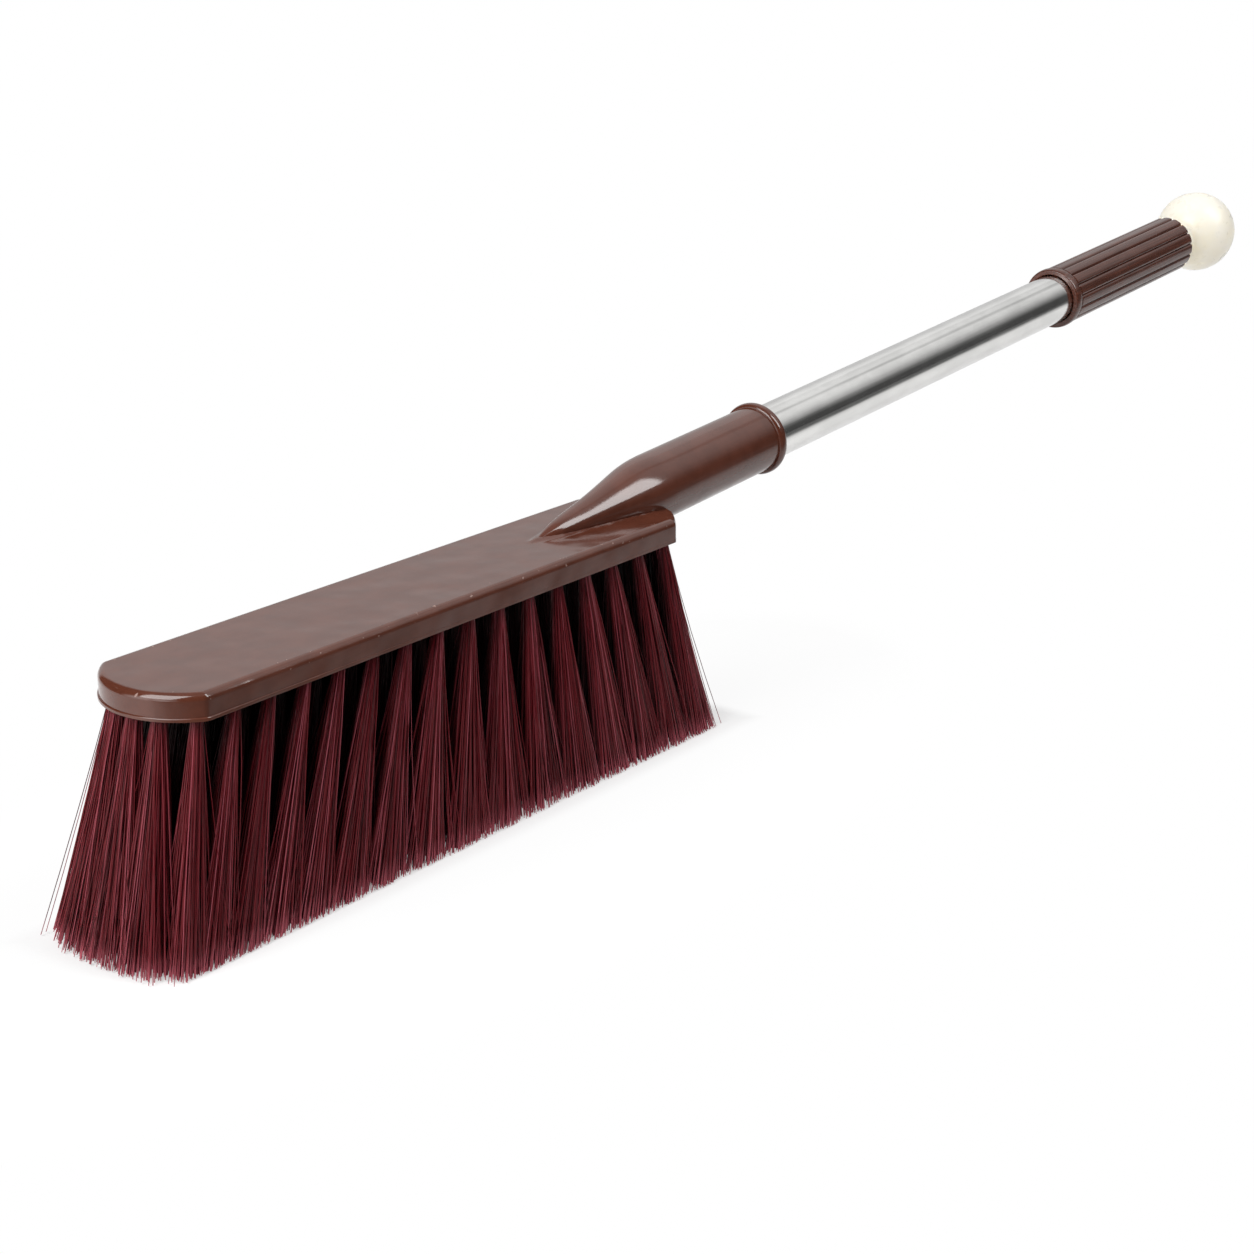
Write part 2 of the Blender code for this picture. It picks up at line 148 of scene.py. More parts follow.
class BlockSizes(bpy.types.PropertyGroup):
    """Sizes of the brush block."""

    width: length("Width", "Across the block's straight sides", 0.041)
    side: length("Side length", "Between the corners on one side", 0.197)
    height: length("Height", "From the underside to the top face", 0.0074)
    bow: length("End bow", "How far each end bows out past its corners", 0.0107)
    corner: length("Corner radius", "Of the two upright corners at the front", 0.0028)
    fillet: length("Top fillet", "Radius of the edge round the top face", 0.0022)
    lip_height: length("Lip height", "Of the thin lip round the foot", 0.001)
    lip_stand: length("Lip stand", "How far the lip stands out", 0.0004)
    rear_corner: length("Rear corner radius", "Of the two upright corners at the handle", 0.0016)
    rear_share: fraction("Rear share", "How much of the lip and fillet the rear end has", 0.12)
    side_lip_share: fraction("Side lip share", "How much of the lip the sides have further back", 0.12)
    flare: length("Flare", "Reach of the hollow fillet along the cone's foot", 0.0011)
    tip_flare: length("Tip flare", "How much further it reaches round the cone's point", 0.0008)
    tip_length: length("Tip length", "Over which the flare round the point fades", 0.008)
    flare_rise: fraction("Flare rise", "How high the flare stands for its reach", 0.4)
    sink: length("Sink depth", "Of the slow hollows that the mould leaves on top", 0.00013)
    flat_edge: length("Flat edge", "Inside the top fillet, where the hollows fade in", 0.004)
    hole: length("Tuft hole", "Radius of the holes that the tufts are set in", 0.0023)
    hole_depth: length("Hole depth", "Of the tuft holes that show below", 0.0015)


class BristleSizes(bpy.types.PropertyGroup):
    """Sizes and counts of the bristles."""

    columns: count("Columns", "Tufts along a row", 16)
    rows: count("Rows", "Rows of tufts", 5)
    filaments: count("Filaments", "Filaments in a tuft", 330)
    edge: length("End distance", "From the first tuft's middle to the bowed end", 0.0044)
    row_edge: length("Side distance", "From the outer row's middle to the block's side", 0.0049)
    end_lean: length("End lean", "How far the front tufts' tips lean out", 0.0142)
    front_lean: length("Front lean", "How far the tips behind them lean forward", 0.024)
    rear_lean: length("Rear lean", "How far the rear tufts' tips lean back", 0.0085)
    side_lean: length("Side lean", "How far the outer rows' tips lean out", 0.0064)
    crowd: length("Crowding", "How far from the front end the tips crowd together", 0.013)
    radius: length("Filament radius", "Of a filament at its root", 0.00015)
    bend: length("Bend", "How far a filament strays from a straight line", 0.0005)
    tuft: length("Tuft radius", "Of an outer tuft where it leaves its hole", 0.0014)
    inner_tuft: length("Inner tuft radius", "Of a tuft of the inner rows there", 0.0024)
    ragged: length("Ragged", "Usual unevenness of the trimmed tips", 0.00025)


class HandleSizes(bpy.types.PropertyGroup):
    """Sizes along the handle."""

    cone_lead: length("Cone lead", "From the cone's point to where the axis leaves the block", 0.0084)
    cone_end: length("Cone end", "Station where the cone meets the sleeve", 0.045)
    cone_blend: length("Cone blend", "Length of the soft bend there", 0.007)
    nose: length("Nose", "How much fuller than a sharp cone the cone's foot is", 0.001)
    nose_place: length("Nose place", "Station where it is fullest", 0.004)
    nose_rise: length("Nose rise", "Over which it gets fuller", 0.008)
    nose_fade: length("Nose fade", "Over which it gets back to the cone", 0.014)
    sleeve_radius: length("Sleeve radius", "Outside the plain sleeve", 0.01127)
    sleeve_end: length("Sleeve end", "Station of the sleeve's mouth", 0.111)
    rim_width: length("Rim width", "Of the bead at the sleeve's mouth", 0.0038)
    rim_stand: length("Rim stand", "How far the bead stands out", 0.0012)
    tube_radius: length("Tube radius", "Outside the steel tube", 0.0095)
    tube_wall: length("Tube wall", "Thickness of the steel", 0.00025)
    tube_fit: length("Tube fit", "Clearance round the tube in its sockets", 0.00012)
    socket: length("Socket depth", "How deep the tube sits in the sleeve", 0.056)
    tube_shown: length("Tube shown", "Between the sleeve and the grip", 0.2018)
    tube_in_grip: length("Tube in grip", "How deep the tube sits in the grip", 0.045)


class GripSizes(bpy.types.PropertyGroup):
    """Sizes of the grip and its ribs."""

    radius: length("Radius", "Over the ribs", 0.01164)
    length: length("Length", "From the collar's face to the end", 0.1015)
    ribs: count("Ribs", "Ribs round the grip", 15)
    rib_depth: length("Rib depth", "From a rib's top to the groove", 0.0009)
    turn: bpy.props.FloatProperty(
        name="Turn", description="Of the first groove from the top", default=math.radians(10),
        unit="ROTATION"
    )
    end_round: length("End round", "Radius at the ribs' ends", 0.0009)
    end_wall: length("End wall", "Thickness of the wall that holds the ball", 0.0125)
    collar_width: length("Collar width", "Of the bead at the mouth", 0.0045)
    collar_radius: length("Collar radius", "At the collar's edges", 0.0111)
    collar_stand: length("Collar stand", "How far the bead stands out", 0.0009)
    collar_step: length("Collar step", "From the collar's edge to the seam behind it", 0.0001)
    seam: length("Seam", "Between the ribs' ends and the collar", 0.0006)
    mouth: length("Mouth", "Depth of the flare in the collar's mouth", 0.0004)
    stem_bore: length("Stem bore", "Radius of the hole for the ball's stem", 0.0053)


class BallSizes(bpy.types.PropertyGroup):
    """Sizes of the ball knob's hidden neck and stem."""

    neck: length("Neck radius", "Between the grip and the ball", 0.007)
    stem: length("Stem radius", "In the grip's end wall", 0.005)
    stem_length: length("Stem length", "In the grip's end wall", 0.0115)
    neck_round: length("Neck round", "Radius where the neck meets the ball", 0.0015)
    swell: length("Neck swell", "How much the neck widens just below the ball", 0.0002)
    swell_rise: length("Neck swell rise", "How far above the plain neck it does", 0.0006)


class BrushColours(bpy.types.PropertyGroup):
    """Colours of the brush, as linear values."""

    plastic: colour("Plastic", "Of the block and the grip", (0.086, 0.0245, 0.0135))
    plastic_worn: colour("Worn plastic", "Of scuffs on the edges", (0.3, 0.19, 0.16))
    bristle: colour("Bristle", "Of most filaments", (0.125, 0.0052, 0.0099))
    bristle_dark: colour("Dark bristle", "Of the darkest filaments", (0.055, 0.002, 0.0045))
    bristle_light: colour("Light bristle", "Of the lightest filaments", (0.325, 0.063, 0.085))
    steel: colour("Steel", "Of the tube", (0.8, 0.795, 0.78))
    # Partly painted light: the tips' colour is partly the cut ends' own paler pink and partly a painted lift
    # of light on the lowest part of the bristles.
    bristle_tip_and_light: colour("Bristle tips", "Of the cut ends", (0.39, 0.083, 0.11))
    ivory: colour("Ivory", "Of the ball", (0.875, 0.81, 0.71))
    floor: colour("Floor", "Of the studio floor", (0.8, 0.8, 0.8))


GROUPS = {
    "brush_block": BlockSizes,
    "brush_bristles": BristleSizes,
    "brush_handle": HandleSizes,
    "brush_grip": GripSizes,
    "brush_ball": BallSizes,
    "brush_colours": BrushColours,
}


# Places worked out from the sizes
def datum(block):
    """The point on the floor under the middle of the line that joins the two front corners."""
    return Vector((BLOCK_LOW.x + block.bow + block.lip_stand, 0, 0))


def block_top(block):
    return BLOCK_LOW.z + block.height


def axis_place(block):
    """The handle's own axes: +Z along the handle, -X up, from where it leaves the block's top."""
    rise = (block_top(block) - TUBE_CENTRE.z) / ALONG.z
    start = TUBE_CENTRE + ALONG * rise
    return Matrix.Translation(start) @ Matrix.Rotation(math.pi / 2 - HANDLE_RISE, 4, "Y")


def cone_radius(handle, station):
    """The cone's radius at a station. Its foot, where it leaves the block, is fuller than a sharp cone."""
    slope = handle.sleeve_radius / (handle.cone_end + handle.cone_lead)
    past = station - handle.nose_place
    reach = handle.nose_fade if past > 0 else handle.nose_rise
    return slope * max(station + handle.cone_lead, 0) + handle.nose * math.exp(-((past / reach) ** 2))


# Mesh helpers
def new_object(name, content):
    made = bpy.data.objects.new(name, content)
    bpy.context.scene.collection.objects.link(made)
    return made


def place_mesh(name, shape, place=None):
    """Makes an object of a finished bmesh, which is first moved to its place."""
    if place:
        shape.transform(place)
    mesh = bpy.data.meshes.new(name)
    shape.to_mesh(mesh)
    shape.free()
    return new_object(name, mesh)


def arc(centre_x, centre_y, radius, start, end, steps):
    """Points round an arc, both its ends included."""
    turns = [start + (end - start) * i / steps for i in range(steps + 1)]
    return [(centre_x + radius * math.cos(t), centre_y + radius * math.sin(t)) for t in turns]


def rings(name, profile, place, turns=None, radius_at=None, closed=False):
    """A lathe: a ring for each (radius, station) point of the profile.

    radius_at changes a ring's radius by the turn, for ribs.
    """
    turns = turns or [2 * math.pi * i / TURNS for i in range(TURNS)]
    shape = bmesh.new()
    loops = []
    for step, (radius, station) in enumerate(profile):
        if radius < WELD:
            loops.append([shape.verts.new((0, 0, station))])
            continue
        loop = []
        for turn in turns:
            here = radius_at(step, radius, turn) if radius_at else radius
            loop.append(shape.verts.new((here * math.cos(turn), here * math.sin(turn), station)))
        loops.append(loop)
    for upper, lower in zip(loops, loops[1:] + (loops[:1] if closed else [])):
        join_loops(shape, upper, lower)
    bmesh.ops.recalc_face_normals(shape, faces=shape.faces)
    return place_mesh(name, shape, place)


def join_loops(shape, upper, lower):
    """Faces between two rings, either of which may be a single point."""
    steps = max(len(upper), len(lower))
    for i in range(steps):
        j = (i + 1) % steps
        corners = [upper[i % len(upper)], upper[j % len(upper)]]
        corners += [lower[j % len(lower)], lower[i % len(lower)]]
        shape.faces.new([corner for k, corner in enumerate(corners) if corner not in corners[:k]])


def combine(piece, operation, form):
    """Joins a form to the piece or cuts it away, and removes the form."""
    modifier = piece.modifiers.new(form.name, "BOOLEAN")
    modifier.operation = operation
    modifier.solver = "MANIFOLD"
    modifier.object = form
    settle(piece)
    bpy.data.objects.remove(form, do_unlink=True)


def settle(piece):
    """Applies the piece's modifiers to its mesh."""
    graph = bpy.context.evaluated_depsgraph_get()
    graph.update()
    mesh = bpy.data.meshes.new_from_object(piece.evaluated_get(graph))
    piece.modifiers.clear()
    old, piece.data = piece.data, mesh
    mesh.name = piece.name
    bpy.data.meshes.remove(old)


def finish_piece(piece, material, slot, *nodes):
    """Shades the piece, gives it its finish and hangs it on the frame."""
    piece.data.materials.clear()
    piece.data.materials.append(material)
    piece.data.shade_smooth()
    piece.data.set_sharp_from_angle(angle=SHARP_ABOVE)
    modifier = piece.modifiers.new("even_shading", "WEIGHTED_NORMAL")
    modifier.keep_sharp = True
    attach(piece, BODY)
    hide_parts(*nodes)


# Material helpers. Most of a noise's values lie between these two.
NOISE_LOW = 0.3
NOISE_HIGH = 0.7


def new_material(name):
    material = bpy.data.materials.new(name)
    material.use_nodes = True
    return material, material.node_tree, material.node_tree.nodes["Principled BSDF"]


def add_node(tree, kind, inputs=None, **settings):
    """A new shader node with its inputs and settings."""
    made = tree.nodes.new("ShaderNode" + kind)
    for key, value in settings.items():
        setattr(made, key, value)
    feed(tree, made, inputs or {})
    return made


def feed(tree, node, inputs):
    """Gives each of a node's inputs a value or another node's output."""
    for key, value in inputs.items():
        if isinstance(value, bpy.types.NodeSocket):
            tree.links.new(value, node.inputs[key])
        else:
            node.inputs[key].default_value = value


def object_coordinates(tree, scale=(1, 1, 1)):
    """The piece's own coordinates in metres, stretched by the scale."""
    source = add_node(tree, "TexCoord").outputs["Object"]
    return add_node(tree, "Mapping", {"Vector": source, "Scale": scale}).outputs[0]


def handle_coordinates(tree, stretch):
    """Coordinates whose X runs along the handle, and in which the stretch draws a texture out."""
    source = add_node(tree, "TexCoord").outputs["Object"]
    inputs = {"Vector": source, "Rotation": (0, -HANDLE_RISE, 0), "Scale": (stretch, 1, 1)}
    return add_node(tree, "Mapping", inputs, vector_type="TEXTURE").outputs[0]


def fine_noise(tree, coordinates, scale, detail=2.0, roughness=0.5):
    inputs = {"Vector": coordinates, "Scale": scale, "Detail": detail, "Roughness": roughness}
    return add_node(tree, "TexNoise", inputs).outputs["Fac"]


def map_range(tree, value, low, high, to_low=0.0, to_high=1.0):
    """Maps a value smoothly from one range to another. A ramp holds the numbers of both."""
    inputs = {"Value": value, "From Min": low, "From Max": high, "To Min": to_low, "To Max": to_high}
    return add_node(tree, "MapRange", inputs, interpolation_type="SMOOTHSTEP").outputs[0]


def blend_colours(tree, factor, first, second):
    """Goes from the first colour to the second, each of which is a value or another node's output."""
    first, second = ((*value, 1.0) if isinstance(value, tuple) else value for value in (first, second))
    return add_node(tree, "Mix", {0: factor, 6: first, 7: second}, data_type="RGBA").outputs[2]


def math_node(tree, operation, *values):
    return add_node(tree, "Math", dict(enumerate(values)), operation=operation).outputs[0]


def bump(tree, height, distance, under=None):
    inputs = {"Height": height, "Distance": distance, "Strength": 1.0}
    if under:
        inputs["Normal"] = under
    return add_node(tree, "Bump", inputs).outputs[0]


def distances_from(tree, middle):
    """How far a place lies from the middle plane at X, and from the other two planes, as X, Y and Z."""
    place = add_node(tree, "TexCoord").outputs["Object"]
    centred = add_node(tree, "VectorMath", {0: place, 1: (-middle, 0, 0)}).outputs[0]
    outward = add_node(tree, "VectorMath", {0: centred}, operation="ABSOLUTE").outputs[0]
    return add_node(tree, "SeparateXYZ", {0: outward}).outputs


def plastic_colour(tree, colours, place, lines, scuff, dullness):
    """Brown with a faint mottle, darker streaks where the plastic is dull, and pale scuffs."""
    mottle = map_range(tree, fine_noise(tree, place, 110.0, 3.0, 0.55), NOISE_LOW, NOISE_HIGH)
    lighter = tuple(1.12 * part + 0.002 for part in colours.plastic)
    darker = tuple(0.9 * part for part in colours.plastic)
    streak = tuple(0.4 * part for part in colours.plastic)
    base = blend_colours(tree, mottle, darker, lighter)
    base = blend_colours(tree, map_range(tree, lines, 0.4, 0.62, 3.5 * dullness, 0.0), base, streak)
    return blend_colours(tree, math_node(tree, "MULTIPLY", scuff, 0.7), base, tuple(colours.plastic_worn))


def plastic_surface(tree, place, lines, wave_height, level, grain_height):
    """Slow waves below the level, fine lines along the handle and a fine skin."""
    height = add_node(tree, "SeparateXYZ", {0: place}).outputs["Z"]
    waved = map_range(tree, height, level + 0.0002, level + 0.002, 1.0, 0.0)
    swell = math_node(tree, "SUBTRACT", fine_noise(tree, place, 85.0, 1.0, 0.4), 0.5)
    waves = bump(tree, math_node(tree, "MULTIPLY", swell, waved), wave_height)
    grain = bump(tree, lines, grain_height, waves)
    return bump(tree, fine_noise(tree, place, 1500.0, 2.0), 0.000006, grain)


def moulded_plastic(name, colours, wave_height, level, grain_height, dullness):
    """Dark moulded plastic with faint smears, and scuffs where the mesh is worn."""
    material, tree, shader = new_material(name)
    place = object_coordinates(tree)
    lines = fine_noise(tree, handle_coordinates(tree, 30.0), 1300.0, 2.0)
    edge = add_node(tree, "Attribute", attribute_name="worn").outputs["Fac"]
    nicks = map_range(tree, fine_noise(tree, place, 520.0, 2.0, 0.6), 0.68, 0.74)
    scuff = math_node(tree, "MULTIPLY", nicks, edge)
    smears = fine_noise(tree, handle_coordinates(tree, 3.0), 90.0, 4.0, 0.6)
    dull = map_range(tree, smears, 0.3, 0.75, 0.07 + dullness, 0.14 + dullness)
    dull = math_node(tree, "ADD", dull, math_node(tree, "MULTIPLY", scuff, 0.3))
    base = plastic_colour(tree, colours, place, lines, scuff, dullness)
    surface = plastic_surface(tree, place, lines, wave_height, level, grain_height)
    feed(tree, shader, {"Base Color": base, "Roughness": dull, "Normal": surface})
    shader.inputs["Specular IOR Level"].default_value = 0.58
    return material


# The block with its cone and sleeve
def bow_radius(block):
    """The radius of the arc that each end of the block bows out in."""
    return (block.bow**2 + (block.width / 2) ** 2) / (2 * block.bow)


def bowed_end(block, inset, corner):
    """The front end of the block's outline, from the near side to the far side, drawn in by the inset."""
    half = block.width / 2
    radius = bow_radius(block)
    back = radius - block.bow
    bow = radius - inset
    corner = max(corner - inset, WELD)
    corner_y = half - inset - corner
    corner_x = math.sqrt((bow - corner) ** 2 - corner_y**2)
    meet = math.atan2(corner_y, corner_x)
    near = arc(back - corner_x, -corner_y, corner, -math.pi / 2, meet - math.pi, CORNER_STEPS)
    bowed = arc(back, 0, bow, meet - math.pi, -math.pi - meet, BOW_STEPS)
    far = arc(back - corner_x, corner_y, corner, -math.pi - meet, -math.pi * 3 / 2, CORNER_STEPS)
    return near + bowed[1:-1] + far


def side_points(near, far):
    """The points between the ends of a long side."""
    return [(near[0] + (far[0] - near[0]) * i / SIDE_STEPS, near[1]) for i in range(1, SIDE_STEPS)]


def block_outline(block, inset):
    """The block seen from above, in the scene's places. Its rear corners are crisper than its front ones."""
    start = datum(block).x
    front = [(start + x, y) for x, y in bowed_end(block, inset, block.corner)]
    rear = [(start + block.side - x, y) for x, y in bowed_end(block, inset, block.rear_corner)][::-1]
    return front + side_points(front[-1], rear[0]) + rear + side_points(rear[-1], front[0])


def edge_shares(side, rear):
    """How much of a full edge each point of the outline has: all at the front, less further back."""
    corner = CORNER_STEPS + 1
    bowed = BOW_STEPS - 1
    along = [1 + (side - 1) * min(2 * i / SIDE_STEPS, 1) for i in range(1, SIDE_STEPS)]
    fading = [side] * corner + [side + (rear - side) * i / CORNER_STEPS for i in range(corner)]
    front = [1] * (2 * corner + bowed)
    return front + along + fading + [rear] * (bowed - 2 * corner) + fading[::-1] + along[::-1]


def block_rows(block):
    """The rows of the block's skin: an outline, its shares, its reach, its level and its drop."""
    lip = block_outline(block, -block.lip_stand)
    inner = block_outline(block, block.fillet)
    lip_shares = edge_shares(block.side_lip_share, block.rear_share)
    fillet_shares = edge_shares(1, block.rear_share)
    foot = BLOCK_LOW.z
    rows = [(lip, lip_shares, 1, foot, 0)]
    for turn in (math.pi / 2 * i / LIP_STEPS for i in range(LIP_STEPS + 1)):
        drop = -block.lip_stand * (1 - math.sin(turn))
        rows.append((lip, lip_shares, math.cos(turn), foot + block.lip_height, drop))
    for turn in (math.pi / 2 * i / FILLET_STEPS for i in range(FILLET_STEPS + 1)):
        drop = -block.fillet * (1 - math.sin(turn))
        rows.append((inner, fillet_shares, 1 - math.cos(turn), block_top(block), drop))
    return rows


def block_shape(block):
    """The block's skin: the foot's lip, the sides and the rounded upper edge."""
    plain = block_outline(block, 0)
    shape = bmesh.new()
    loops = []
    for outline, shares, reach, level, drop in block_rows(block):
        loop = []
        for (x, y), (far_x, far_y), share in zip(plain, outline, shares):
            out = reach * share
            place = (x + (far_x - x) * out, y + (far_y - y) * out, level + drop * share)
            loop.append(shape.verts.new(place))
        loops.append(loop)
    for lower, upper in zip(loops, loops[1:]):
        join_loops(shape, upper, lower)
    shape.faces.new(loops[0])
    shape.faces.new(loops[-1])
    bmesh.ops.recalc_face_normals(shape, faces=shape.faces)
    return shape


def edge_distance(block, x, y):
    """How far a place on the block, measured from the datum, lies inside its outline."""
    radius = bow_radius(block)
    ends = []
    for end_x in (x, block.side - x):
        ends.append(radius - math.hypot(min(end_x - (radius - block.bow), 0), y))
    return min(block.width / 2 - abs(y), *ends)


def cut_top(shape, block, axis, places):
    """Cuts the top face across the axis at each of the places."""
    top = block_top(block)
    for place in places:
        level = [face for face in shape.faces if face.normal.z > UPWARD]
        upper = [face for face in level if top - face.verts[0].co.z < WELD]
        geometry = {*upper, *(edge for face in upper for edge in face.edges)}
        geometry.update(vert for face in upper for vert in face.verts)
        cut_at = Vector(axis) * place
        bmesh.ops.bisect_plane(shape, geom=list(geometry), dist=WELD, plane_co=cut_at, plane_no=axis)


def grid_top(shape, block, handle):
    """Cuts the top face into a grid, which is fine where the cone meets it."""
    low_x = min(vert.co.x for vert in shape.verts)
    high_x = max(vert.co.x for vert in shape.verts)
    fine_from = axis_place(block).translation.x - handle.cone_lead - FINE_MARGIN
    across = [low_x + COARSE_GRID * i for i in range(1, int((fine_from - low_x) / COARSE_GRID) + 1)]
    across += [fine_from + FINE_GRID * i for i in range(int((high_x - fine_from) / FINE_GRID) + 1)]
    cut_top(shape, block, (1, 0, 0), across)
    along = [FINE_GRID * i for i in range(-FINE_LINES, FINE_LINES + 1)]
    coarse = [COARSE_GRID * i for i in range(-COARSE_LINES, COARSE_LINES + 1)]
    along += [place for place in coarse if abs(place) > FINE_GRID * FINE_LINES]
    cut_top(shape, block, (0, 1, 0), along)


def flare_height(block, handle, by_axis):
    """How high the flare round the cone's foot stands at a place in the handle's own axes."""
    before = by_axis.z + handle.cone_lead
    out = math.hypot(by_axis.x, by_axis.y)
    gap = math.hypot(out, min(before, 0)) - cone_radius(handle, by_axis.z)
    past_tip = max(before - block.tip_length, 0) / block.tip_length
    flare = block.flare + block.tip_flare * math.exp(-(past_tip**2))
    return flare * block.flare_rise * max(1 - max(gap, 0) / flare, 0) ** 2


def top_relief(shape, block, handle):
    """Grids the top face, sinks it in slow hollows and flares it up where the cone meets it."""
    grid_top(shape, block, handle)
    place = axis_place(block).inverted()
    start = datum(block).x
    top = block_top(block)
    for vert in shape.verts:
        if top - vert.co.z > WELD:
            continue
        inside = edge_distance(block, vert.co.x - start, vert.co.y) - block.fillet
        fade = min(max(inside / block.flat_edge, 0), 1)
        hollow = noise.noise(Vector((vert.co.x * HOLLOWS_ALONG, vert.co.y * HOLLOWS_ACROSS, HOLLOWS_SEED)))
        flare = flare_height(block, handle, place @ vert.co)
        sink = block.sink * (0.5 + 0.5 * hollow) * fade * fade * (3 - 2 * fade)
        vert.co.z += flare * fade - sink


def rim_points(handle):
    """The bead at the sleeve's mouth, which the mouth's flat face closes."""
    half = handle.rim_width / 2
    points = [(0, handle.sleeve_end)]
    for turn in (math.pi * i / RIM_STEPS for i in range(RIM_STEPS + 1)):
        stand = handle.rim_stand * math.sin(turn) ** RIM_POWER
        points.append((handle.sleeve_radius + stand, handle.sleeve_end - half + half * math.cos(turn)))
    return points


def sleeve_profile(handle):
    """The rim's bead, the plain sleeve and the cone that it narrows into, from the mouth down."""
    points = rim_points(handle)
    half = handle.rim_width / 2
    rim = handle.sleeve_end - half
    for i in range(1, SLEEVE_STEPS):
        station = rim - (rim - handle.cone_end - handle.cone_blend) * i / SLEEVE_STEPS
        points.append((handle.sleeve_radius, station - half * (1 - i / SLEEVE_STEPS)))
    slope = handle.sleeve_radius / (handle.cone_end + handle.cone_lead)
    for share in (i / BLEND_STEPS for i in range(BLEND_STEPS + 1)):
        above = handle.cone_blend * (1 - share) ** 2
        below = handle.cone_blend * share**2
        points.append((handle.sleeve_radius - slope * below, handle.cone_end + above - below))
    last = handle.cone_end - handle.cone_blend
    for i in range(1, CONE_STEPS):
        station = last - (last + handle.cone_lead) * i / CONE_STEPS
        points.append((cone_radius(handle, station), station))
    points.append((0, -handle.cone_lead))
    return points


def tuft_places(block, bristles, y):
    """The places along the block, from the datum, of the tufts in the row at y."""
    radius = bow_radius(block)
    front = radius - block.bow - math.sqrt((radius - bristles.edge) ** 2 - y**2)
    pitch = (block.side - 2 * front) / (bristles.columns - 1)
    return [front + pitch * i for i in range(bristles.columns)]


def row_places(block, bristles):
    pitch = (block.width - 2 * bristles.row_edge) / (bristles.rows - 1)
    return [(row - (bristles.rows - 1) / 2) * pitch for row in range(bristles.rows)]


def tuft_holes(block, bristles):
    """One form that holds every tuft hole's cutter."""
    shape = bmesh.new()
    start = datum(block).x
    for y in row_places(block, bristles):
        for x in tuft_places(block, bristles, y):
            place = Matrix.Translation((x + start, y, BLOCK_LOW.z))
            bmesh.ops.create_cone(
                shape, cap_ends=True, segments=HOLE_STEPS, radius1=block.hole, radius2=block.hole,
                depth=2 * block.hole_depth, matrix=place
            )
    return place_mesh("tuft_hole_form", shape)


def mark_worn(piece, block):
    """Marks the points of the block's rounded upper edge, which gets scuffed."""
    start = datum(block).x
    top = block_top(block)
    worn = piece.data.attributes.new("worn", "FLOAT", "POINT")
    for vert in piece.data.vertices:
        inside = edge_distance(block, vert.co.x - start, vert.co.y)
        near_rim = -WELD < inside < block.fillet * WORN_SHARE
        worn.data[vert.index].value = near_rim and top - block.fillet < vert.co.z < top + WELD


def make_block(block, bristles, handle, colours):
    """Block, lip, cone and sleeve in one moulding, with tuft holes below and a socket for the tube."""
    place = axis_place(block)
    shape = block_shape(block)
    top_relief(shape, block, handle)
    piece = place_mesh("brush_block", shape)
    combine(piece, "UNION", rings("sleeve_form", sleeve_profile(handle), place))
    socket_start = handle.sleeve_end - handle.socket
    socket_end = handle.sleeve_end + OVERRUN
    radius = handle.tube_radius + handle.tube_fit
    bore = [(0, socket_end), (radius, socket_end), (radius, socket_start), (0, socket_start)]
    combine(piece, "DIFFERENCE", rings("socket_form", bore, place))
    combine(piece, "DIFFERENCE", tuft_holes(block, bristles))
    mark_worn(piece, block)
    material = moulded_plastic(
        "moulded_brown_block", colours, wave_height=0.0005, level=block_top(block), grain_height=0.000008,
        dullness=0.02
    )
    finish_piece(piece, material, "brown_plastic", "head_with_socket")


class BRUSH_OT_block(bpy.types.Operator):
    """Make the brush block, with its cone, its sleeve and its tuft holes"""

    bl_idname = "brush.block"
    bl_label = "Block and Sleeve"

    def execute(self, context):
        scene = context.scene
        make_block(scene.brush_block, scene.brush_bristles, scene.brush_handle, scene.brush_colours)
        return {"FINISHED"}


# Bristles. A place along the block goes from -1 to 1; spreads and thicknesses are shares of the usual.
LEAN_TURN_SHARE = -0.45
LEAN_RISE_SHARE = 1.35
STRAY_SHARE = 0.035
STRAY_SPREAD = (1.2, 2.4)
STRAY_THICKNESS = 0.75
THICKNESS = (0.8, 1.15)
TIP_SHARE = 0.95
SPREAD_CHANGE = 0.12
TURN_CHANGE = 0.35
MOST_SPREAD = 2
MOST_RAGGED = 5
TRIM_MARGIN = 0.0003
TIP_LIFT = 0.0001
ROOT_SHARE = 0.6
FRONT_TUFT_SHARE = 0.8
ROW_REACH_SHARE = 0.9
OUTER_REACH_SHARE = 0.53
INNER_REACH_SHARE = 0.6
LEAST_REACH = 0.006
EVEN_SPREAD = 0.7
LATE_SPREAD = 0.3
RIPPLE_PART = 3
DARK_RAMP = (0.0, 0.35)
LIGHT_RAMP = (0.78, 1.0)
# Painted shade: over these depths inside the bristles the filaments darken to near black, in place of the
# shade among the tufts.
PAINTED_SHADE_RAMP = (0.001, 0.0055, 0.0, 0.9)
# Partly painted light: over these heights above the floor the filaments pale to the tip colour, partly the
# cut ends' own colour and partly a painted lift of light.
CUT_END_AND_LIGHT_RAMP = (0.008, -0.001, 0.0, 0.9)


def tip_places(block, bristles, y):
    """Where the tufts of a row end on the floor, from the datum.

    Most tufts lean forward, the last few lean back, and the front ones crowd together.
    """
    places = tuft_places(block, bristles, y)
    middle = block.side / 2
    tips = []
    for x in places:
        share = (x - middle) / (middle - places[0])
        rise = min(max((share - LEAN_TURN_SHARE) / LEAN_RISE_SHARE, 0), 1)
        lean = (bristles.front_lean + bristles.rear_lean) * rise**2 * (3 - 2 * rise) - bristles.front_lean
        crowd = (bristles.front_lean - bristles.end_lean) * math.exp((places[0] - x) / bristles.crowd)
        tips.append(x + lean + crowd)
    return tips


